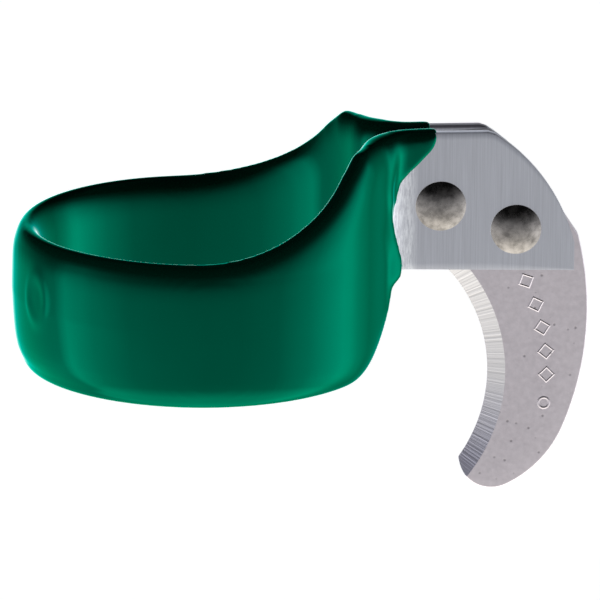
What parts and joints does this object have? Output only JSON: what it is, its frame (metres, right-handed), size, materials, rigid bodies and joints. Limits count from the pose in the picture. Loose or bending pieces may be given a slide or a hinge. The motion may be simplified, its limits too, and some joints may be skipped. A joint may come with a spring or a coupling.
{
  "type": "finger ring hook knife",
  "caption": "Small hooked blade for cutting twine, riveted between the folded-out tabs of a steel finger ring with a dipped green plastic grip.",
  "frame": {"origin": "centre of the finger hole, half way up the ring", "axes": "+Z along the finger hole towards the tabs' side, +X from the ring towards the blade, Y across the tabs"},
  "size_m": [0.038, 0.0248, 0.0251],
  "materials": {
    "band_steel": "bright sheet steel, brushed across its length",
    "dipped_grip": "glossy dipped PVC",
    "blade_steel": "satin stamped steel with a ground inner edge",
    "rivet_metal": "nickel plated, domed"
  },
  "bodies": {
    "root": {"ring_band": "band_steel", "grip_coating": "dipped_grip", "blade": "blade_steel", "root_rivet": "rivet_metal", "nose_rivet": "rivet_metal"}
  },
  "joints": []
}
